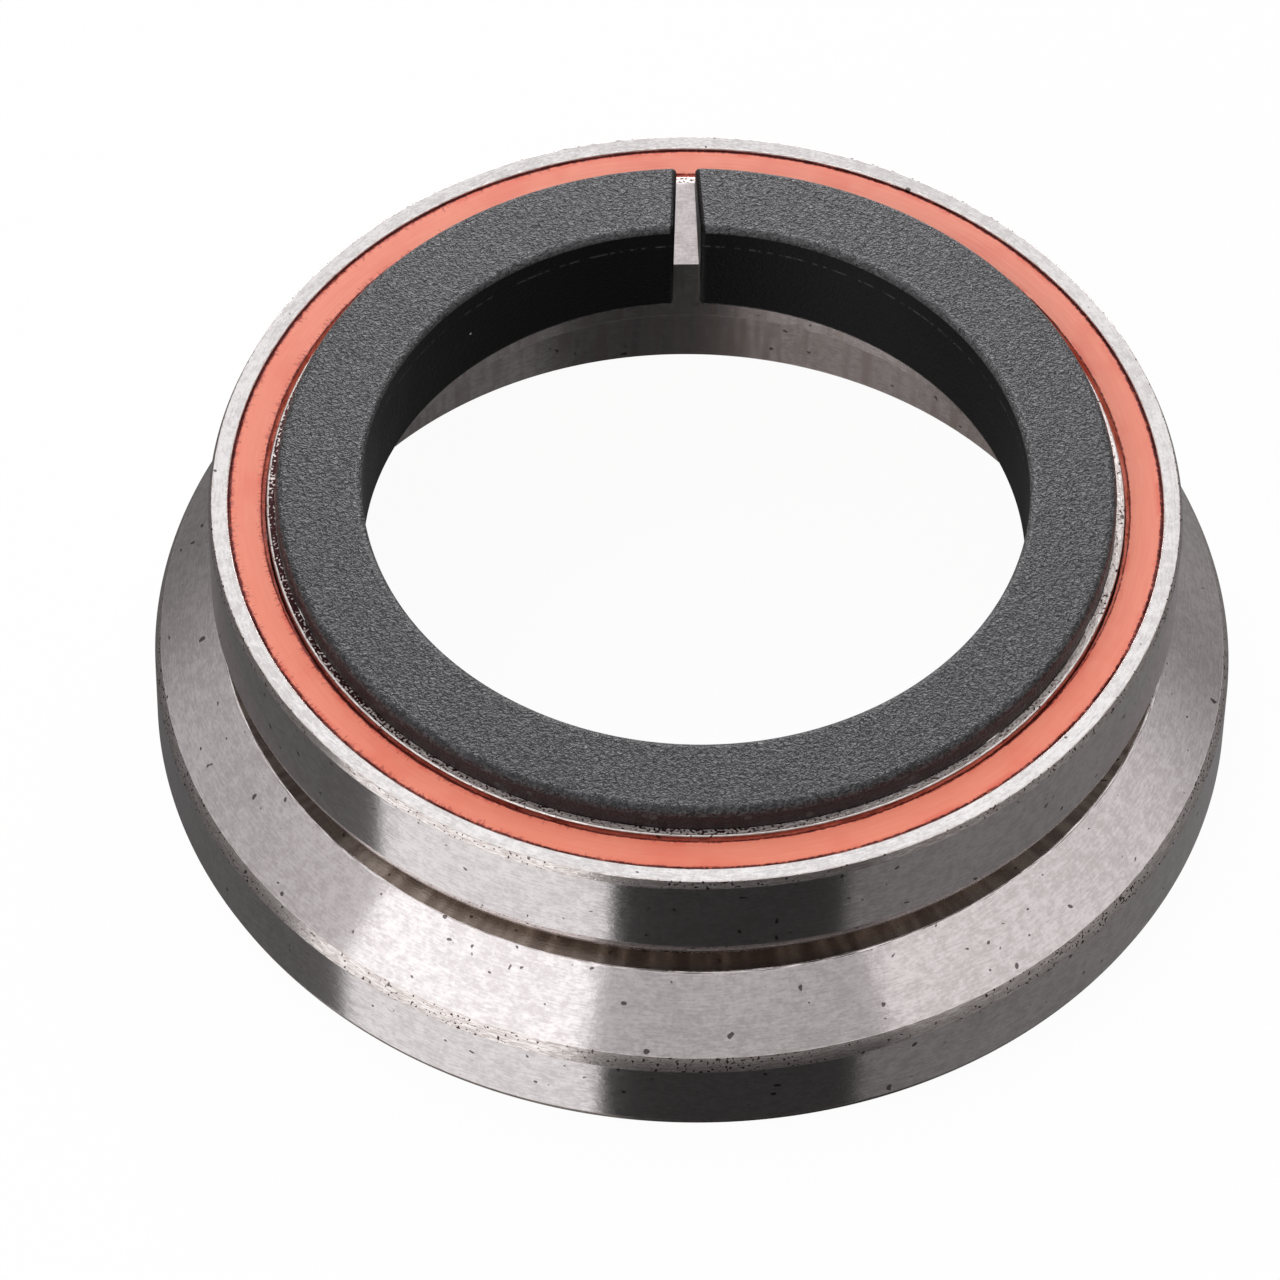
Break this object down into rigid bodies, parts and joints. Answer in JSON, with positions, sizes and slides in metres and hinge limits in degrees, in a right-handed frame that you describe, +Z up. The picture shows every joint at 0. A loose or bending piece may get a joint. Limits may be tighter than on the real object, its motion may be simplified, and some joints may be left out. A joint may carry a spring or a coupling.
{
  "type": "bicycle headset",
  "caption": "Headset for a threadless steerer: a split compression ring in a sealed angular-contact bearing, stacked on a larger sealed bearing turned seat-up.",
  "frame": {"origin": "middle of the lower bearing's bottom face, on the common axis", "axes": "+Z up along the bearings' axis, +Y towards the compression ring's slot"},
  "size_m": [0.047, 0.047, 0.0147],
  "materials": {
    "race_steel": "ground bearing steel",
    "ball_steel": "polished",
    "seal_rubber": "matt",
    "cage_plastic": "moulded nylon",
    "ring_black": "fine-grained satin"
  },
  "bodies": {
    "lower_shell": {"lower_outer_race": "race_steel", "lower_top_seal": "seal_rubber", "lower_bottom_seal": "seal_rubber"},
    "lower_cage": {"lower_ball_cage": "cage_plastic", "lower_ball_01": "ball_steel", "lower_ball_02": "ball_steel", "lower_ball_03": "ball_steel", "lower_ball_04": "ball_steel", "lower_ball_05": "ball_steel", "lower_ball_06": "ball_steel", "lower_ball_07": "ball_steel", "lower_ball_08": "ball_steel", "lower_ball_09": "ball_steel", "lower_ball_10": "ball_steel", "lower_ball_11": "ball_steel", "lower_ball_12": "ball_steel", "lower_ball_13": "ball_steel", "lower_ball_14": "ball_steel", "lower_ball_15": "ball_steel", "lower_ball_16": "ball_steel", "lower_ball_17": "ball_steel", "lower_ball_18": "ball_steel", "lower_ball_19": "ball_steel", "lower_ball_20": "ball_steel", "lower_ball_21": "ball_steel", "lower_ball_22": "ball_steel", "lower_ball_23": "ball_steel", "lower_ball_24": "ball_steel", "lower_ball_25": "ball_steel"},
    "middle": {"lower_inner_race": "race_steel", "upper_outer_race": "race_steel", "upper_top_seal": "seal_rubber", "upper_bottom_seal": "seal_rubber"},
    "upper_cage": {"upper_ball_cage": "cage_plastic", "upper_ball_01": "ball_steel", "upper_ball_02": "ball_steel", "upper_ball_03": "ball_steel", "upper_ball_04": "ball_steel", "upper_ball_05": "ball_steel", "upper_ball_06": "ball_steel", "upper_ball_07": "ball_steel", "upper_ball_08": "ball_steel", "upper_ball_09": "ball_steel", "upper_ball_10": "ball_steel", "upper_ball_11": "ball_steel", "upper_ball_12": "ball_steel", "upper_ball_13": "ball_steel", "upper_ball_14": "ball_steel", "upper_ball_15": "ball_steel", "upper_ball_16": "ball_steel", "upper_ball_17": "ball_steel", "upper_ball_18": "ball_steel", "upper_ball_19": "ball_steel", "upper_ball_20": "ball_steel", "upper_ball_21": "ball_steel", "upper_ball_22": "ball_steel"},
    "steerer_side": {"upper_inner_race": "race_steel", "compression_ring": "ring_black"}
  },
  "joints": [
    {"name": "lower_race_spin", "type": "hinge", "parent": "lower_shell", "child": "middle", "pos_m": [0, 0, 0.0035], "axis": [0, 0, 1], "continuous": true},
    {"name": "lower_cage_spin", "type": "hinge", "parent": "lower_shell", "child": "lower_cage", "pos_m": [0, 0, 0.0035], "axis": [0, 0, 1], "continuous": true},
    {"name": "upper_race_spin", "type": "hinge", "parent": "middle", "child": "steerer_side", "pos_m": [0, 0, 0.01025], "axis": [0, 0, 1], "continuous": true},
    {"name": "upper_cage_spin", "type": "hinge", "parent": "middle", "child": "upper_cage", "pos_m": [0, 0, 0.01025], "axis": [0, 0, 1], "continuous": true}
  ],
  "couplings": [
    {"joint": "lower_cage_spin", "follows": "lower_race_spin", "ratio": 0.4729},
    {"joint": "upper_cage_spin", "follows": "upper_race_spin", "ratio": 0.4695}
  ]
}
